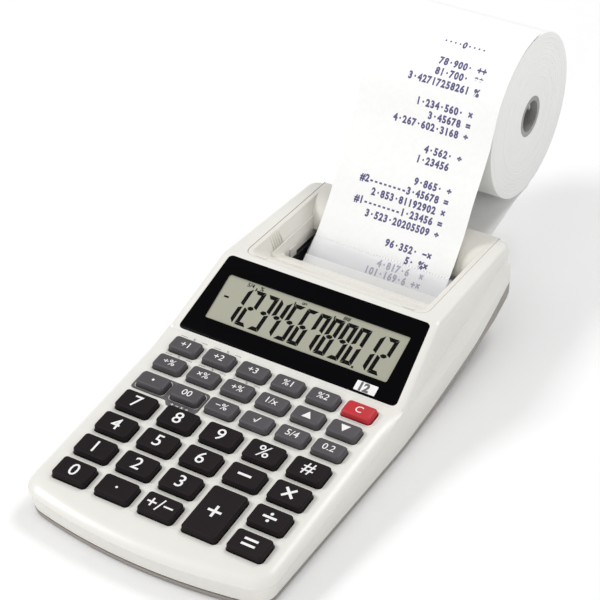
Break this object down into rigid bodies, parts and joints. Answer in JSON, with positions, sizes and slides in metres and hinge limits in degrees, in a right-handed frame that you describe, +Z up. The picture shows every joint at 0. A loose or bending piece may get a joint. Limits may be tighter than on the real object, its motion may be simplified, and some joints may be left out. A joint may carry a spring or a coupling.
{
  "type": "printing calculator",
  "caption": "Sloped printing desk calculator with pressable keys, tilted display, sliding printer cover, clear tear bar, print mechanism and a paper roll on a swing arm behind.",
  "frame": {"origin": "on the desk, under the middle of the whole object's footprint (paper roll included)", "axes": "+Z up, +Y from the keyboard towards the paper roll, +X to the user's right"},
  "size_m": [0.099, 0.265, 0.1],
  "materials": {
    "housing_cream": "fine matt",
    "housing_grey": "fine matt",
    "cover_cream": "satin",
    "clear_plastic": "clear polished",
    "display_black": "gloss",
    "lcd": "satin film",
    "circuit_board": "solder mask",
    "key_sheet": "silicone",
    "steel": "plated",
    "rubber_black": "matt",
    "cell_jacket": "printed foil",
    "mechanism_black": "satin",
    "type_white": "matt",
    "ink_felt": "felt",
    "roller_rubber": "matt",
    "motor_steel": "brushed",
    "arm_grey": "satin",
    "paper": "matt",
    "core_card": "matt",
    "key_dark": "fine matt",
    "key_grey": "fine matt",
    "key_red": "fine matt"
  },
  "bodies": {
    "housing": {"upper_housing": "housing_cream", "lower_housing": "housing_grey", "display_window": "display_black", "lcd_panel": "lcd", "main_board": "circuit_board", "key_sheet": "key_sheet", "case_screws": "steel", "rubber_feet": "rubber_black", "batteries": "cell_jacket", "battery_contacts": "steel", "printer_frame": "mechanism_black", "printer_motor": "motor_steel", "paper_web": "paper"},
    "cover": {"printer_cover": "cover_cream", "paper_cutter": "clear_plastic"},
    "battery_door": {"battery_cover": "housing_grey"},
    "feed": {"feed_roller": "roller_rubber"},
    "carriage": {"print_carriage": "mechanism_black"},
    "type": {"type_wheel": "type_white"},
    "ink": {"ink_roller": "ink_felt"},
    "arm": {"paper_arm": "arm_grey"},
    "roll": {"paper_roll": "paper", "paper_core": "core_card"},
    "key_0": {"key_0": "key_dark"},
    "key_point": {"key_point": "key_dark"},
    "key_sign_change": {"key_sign_change": "key_dark"},
    "key_equals": {"key_equals": "key_dark"},
    "key_1": {"key_1": "key_dark"},
    "key_2": {"key_2": "key_dark"},
    "key_3": {"key_3": "key_dark"},
    "key_divide": {"key_divide": "key_dark"},
    "key_4": {"key_4": "key_dark"},
    "key_5": {"key_5": "key_dark"},
    "key_6": {"key_6": "key_dark"},
    "key_subtract": {"key_subtract": "key_dark"},
    "key_multiply": {"key_multiply": "key_dark"},
    "key_7": {"key_7": "key_dark"},
    "key_8": {"key_8": "key_dark"},
    "key_9": {"key_9": "key_dark"},
    "key_percent": {"key_percent": "key_dark"},
    "key_item": {"key_item": "key_dark"},
    "key_add": {"key_add": "key_dark"},
    "key_mode": {"key_mode": "key_grey"},
    "key_start": {"key_start": "key_grey"},
    "key_time": {"key_time": "key_grey"},
    "key_wave": {"key_wave": "key_grey"},
    "key_rounding": {"key_rounding": "key_grey"},
    "key_decimals": {"key_decimals": "key_grey"},
    "key_memory_recall": {"key_memory_recall": "key_grey"},
    "key_memory_change": {"key_memory_change": "key_grey"},
    "key_memory_total": {"key_memory_total": "key_grey"},
    "key_exchange": {"key_exchange": "key_grey"},
    "key_feed": {"key_feed": "key_grey"},
    "key_print": {"key_print": "key_grey"},
    "key_cost": {"key_cost": "key_grey"},
    "key_sell": {"key_sell": "key_grey"},
    "key_margin": {"key_margin": "key_grey"},
    "key_rate": {"key_rate": "key_grey"},
    "key_convert": {"key_convert": "key_grey"},
    "key_clear": {"key_clear": "key_red"}
  },
  "joints": [
    {"name": "cover_slide", "type": "slide", "parent": "housing", "child": "cover", "axis": [0, 0.9997, -0.0262], "range_m": [0, 0.005]},
    {"name": "battery_door_slide", "type": "slide", "parent": "housing", "child": "battery_door", "axis": [0, -1, 0], "range_m": [0, 0.007]},
    {"name": "arm_swing", "type": "hinge", "parent": "housing", "child": "arm", "pos_m": [-0.0334, 0.06635, 0.0245], "axis": [1, 0, 0], "range_deg": [0, 25], "deforming": ["paper_web"]},
    {"name": "roll_spin", "type": "hinge", "parent": "arm", "child": "roll", "pos_m": [0, 0.09935, 0.0653], "axis": [1, 0, 0], "continuous": true},
    {"name": "feed_spin", "type": "hinge", "parent": "housing", "child": "feed", "pos_m": [0, 0.03285, 0.0168], "axis": [1, 0, 0], "continuous": true},
    {"name": "carriage_slide", "type": "slide", "parent": "housing", "child": "carriage", "axis": [1, 0, 0], "range_m": [-0.046, 0.004]},
    {"name": "type_spin", "type": "hinge", "parent": "carriage", "child": "type", "pos_m": [0.021, 0.02125, 0.0167], "axis": [1, 0, 0], "continuous": true},
    {"name": "ink_spin", "type": "hinge", "parent": "carriage", "child": "ink", "pos_m": [0.021, 0.01565, 0.0224], "axis": [1, 0, 0], "continuous": true},
    {"name": "key_0_press", "type": "slide", "parent": "housing", "child": "key_0", "axis": [0, 0.1045, -0.9945], "range_m": [0, 0.001], "stiffness_N_per_m": 500, "springref_m": -0.0002},
    {"name": "key_point_press", "type": "slide", "parent": "housing", "child": "key_point", "axis": [0, 0.1045, -0.9945], "range_m": [0, 0.001], "stiffness_N_per_m": 500, "springref_m": -0.0002},
    {"name": "key_sign_change_press", "type": "slide", "parent": "housing", "child": "key_sign_change", "axis": [0, 0.1045, -0.9945], "range_m": [0, 0.001], "stiffness_N_per_m": 500, "springref_m": -0.0002},
    {"name": "key_equals_press", "type": "slide", "parent": "housing", "child": "key_equals", "axis": [0, 0.1045, -0.9945], "range_m": [0, 0.001], "stiffness_N_per_m": 500, "springref_m": -0.0002},
    {"name": "key_1_press", "type": "slide", "parent": "housing", "child": "key_1", "axis": [0, 0.1045, -0.9945], "range_m": [0, 0.001], "stiffness_N_per_m": 500, "springref_m": -0.0002},
    {"name": "key_2_press", "type": "slide", "parent": "housing", "child": "key_2", "axis": [0, 0.1045, -0.9945], "range_m": [0, 0.001], "stiffness_N_per_m": 500, "springref_m": -0.0002},
    {"name": "key_3_press", "type": "slide", "parent": "housing", "child": "key_3", "axis": [0, 0.1045, -0.9945], "range_m": [0, 0.001], "stiffness_N_per_m": 500, "springref_m": -0.0002},
    {"name": "key_divide_press", "type": "slide", "parent": "housing", "child": "key_divide", "axis": [0, 0.1045, -0.9945], "range_m": [0, 0.001], "stiffness_N_per_m": 500, "springref_m": -0.0002},
    {"name": "key_4_press", "type": "slide", "parent": "housing", "child": "key_4", "axis": [0, 0.1045, -0.9945], "range_m": [0, 0.001], "stiffness_N_per_m": 500, "springref_m": -0.0002},
    {"name": "key_5_press", "type": "slide", "parent": "housing", "child": "key_5", "axis": [0, 0.1045, -0.9945], "range_m": [0, 0.001], "stiffness_N_per_m": 500, "springref_m": -0.0002},
    {"name": "key_6_press", "type": "slide", "parent": "housing", "child": "key_6", "axis": [0, 0.1045, -0.9945], "range_m": [0, 0.001], "stiffness_N_per_m": 500, "springref_m": -0.0002},
    {"name": "key_subtract_press", "type": "slide", "parent": "housing", "child": "key_subtract", "axis": [0, 0.1045, -0.9945], "range_m": [0, 0.001], "stiffness_N_per_m": 500, "springref_m": -0.0002},
    {"name": "key_multiply_press", "type": "slide", "parent": "housing", "child": "key_multiply", "axis": [0, 0.1045, -0.9945], "range_m": [0, 0.001], "stiffness_N_per_m": 500, "springref_m": -0.0002},
    {"name": "key_7_press", "type": "slide", "parent": "housing", "child": "key_7", "axis": [0, 0.1045, -0.9945], "range_m": [0, 0.001], "stiffness_N_per_m": 500, "springref_m": -0.0002},
    {"name": "key_8_press", "type": "slide", "parent": "housing", "child": "key_8", "axis": [0, 0.1045, -0.9945], "range_m": [0, 0.001], "stiffness_N_per_m": 500, "springref_m": -0.0002},
    {"name": "key_9_press", "type": "slide", "parent": "housing", "child": "key_9", "axis": [0, 0.1045, -0.9945], "range_m": [0, 0.001], "stiffness_N_per_m": 500, "springref_m": -0.0002},
    {"name": "key_percent_press", "type": "slide", "parent": "housing", "child": "key_percent", "axis": [0, 0.1045, -0.9945], "range_m": [0, 0.001], "stiffness_N_per_m": 500, "springref_m": -0.0002},
    {"name": "key_item_press", "type": "slide", "parent": "housing", "child": "key_item", "axis": [0, 0.1045, -0.9945], "range_m": [0, 0.001], "stiffness_N_per_m": 500, "springref_m": -0.0002},
    {"name": "key_add_press", "type": "slide", "parent": "housing", "child": "key_add", "axis": [0, 0.1045, -0.9945], "range_m": [0, 0.001], "stiffness_N_per_m": 500, "springref_m": -0.0002},
    {"name": "key_mode_press", "type": "slide", "parent": "housing", "child": "key_mode", "axis": [0, 0.1045, -0.9945], "range_m": [0, 0.001], "stiffness_N_per_m": 500, "springref_m": -0.0002},
    {"name": "key_start_press", "type": "slide", "parent": "housing", "child": "key_start", "axis": [0, 0.1045, -0.9945], "range_m": [0, 0.001], "stiffness_N_per_m": 500, "springref_m": -0.0002},
    {"name": "key_time_press", "type": "slide", "parent": "housing", "child": "key_time", "axis": [0, 0.1045, -0.9945], "range_m": [0, 0.001], "stiffness_N_per_m": 500, "springref_m": -0.0002},
    {"name": "key_wave_press", "type": "slide", "parent": "housing", "child": "key_wave", "axis": [0, 0.1045, -0.9945], "range_m": [0, 0.001], "stiffness_N_per_m": 500, "springref_m": -0.0002},
    {"name": "key_rounding_press", "type": "slide", "parent": "housing", "child": "key_rounding", "axis": [0, 0.1045, -0.9945], "range_m": [0, 0.001], "stiffness_N_per_m": 500, "springref_m": -0.0002},
    {"name": "key_decimals_press", "type": "slide", "parent": "housing", "child": "key_decimals", "axis": [0, 0.1045, -0.9945], "range_m": [0, 0.001], "stiffness_N_per_m": 500, "springref_m": -0.0002},
    {"name": "key_memory_recall_press", "type": "slide", "parent": "housing", "child": "key_memory_recall", "axis": [0, 0.1045, -0.9945], "range_m": [0, 0.001], "stiffness_N_per_m": 500, "springref_m": -0.0002},
    {"name": "key_memory_change_press", "type": "slide", "parent": "housing", "child": "key_memory_change", "axis": [0, 0.1045, -0.9945], "range_m": [0, 0.001], "stiffness_N_per_m": 500, "springref_m": -0.0002},
    {"name": "key_memory_total_press", "type": "slide", "parent": "housing", "child": "key_memory_total", "axis": [0, 0.1045, -0.9945], "range_m": [0, 0.001], "stiffness_N_per_m": 500, "springref_m": -0.0002},
    {"name": "key_exchange_press", "type": "slide", "parent": "housing", "child": "key_exchange", "axis": [0, 0.1045, -0.9945], "range_m": [0, 0.001], "stiffness_N_per_m": 500, "springref_m": -0.0002},
    {"name": "key_feed_press", "type": "slide", "parent": "housing", "child": "key_feed", "axis": [0, 0.1045, -0.9945], "range_m": [0, 0.001], "stiffness_N_per_m": 500, "springref_m": -0.0002},
    {"name": "key_print_press", "type": "slide", "parent": "housing", "child": "key_print", "axis": [0, 0.1045, -0.9945], "range_m": [0, 0.001], "stiffness_N_per_m": 500, "springref_m": -0.0002},
    {"name": "key_cost_press", "type": "slide", "parent": "housing", "child": "key_cost", "axis": [0, 0.1045, -0.9945], "range_m": [0, 0.001], "stiffness_N_per_m": 500, "springref_m": -0.0002},
    {"name": "key_sell_press", "type": "slide", "parent": "housing", "child": "key_sell", "axis": [0, 0.1045, -0.9945], "range_m": [0, 0.001], "stiffness_N_per_m": 500, "springref_m": -0.0002},
    {"name": "key_margin_press", "type": "slide", "parent": "housing", "child": "key_margin", "axis": [0, 0.1045, -0.9945], "range_m": [0, 0.001], "stiffness_N_per_m": 500, "springref_m": -0.0002},
    {"name": "key_rate_press", "type": "slide", "parent": "housing", "child": "key_rate", "axis": [0, 0.1045, -0.9945], "range_m": [0, 0.001], "stiffness_N_per_m": 500, "springref_m": -0.0002},
    {"name": "key_convert_press", "type": "slide", "parent": "housing", "child": "key_convert", "axis": [0, 0.1045, -0.9945], "range_m": [0, 0.001], "stiffness_N_per_m": 500, "springref_m": -0.0002},
    {"name": "key_clear_press", "type": "slide", "parent": "housing", "child": "key_clear", "axis": [0, 0.1045, -0.9945], "range_m": [0, 0.001], "stiffness_N_per_m": 500, "springref_m": -0.0002}
  ],
  "couplings": [
    {"joint": "feed_spin", "follows": "roll_spin", "ratio": 5.55},
    {"joint": "ink_spin", "follows": "type_spin", "ratio": -1.4062}
  ]
}
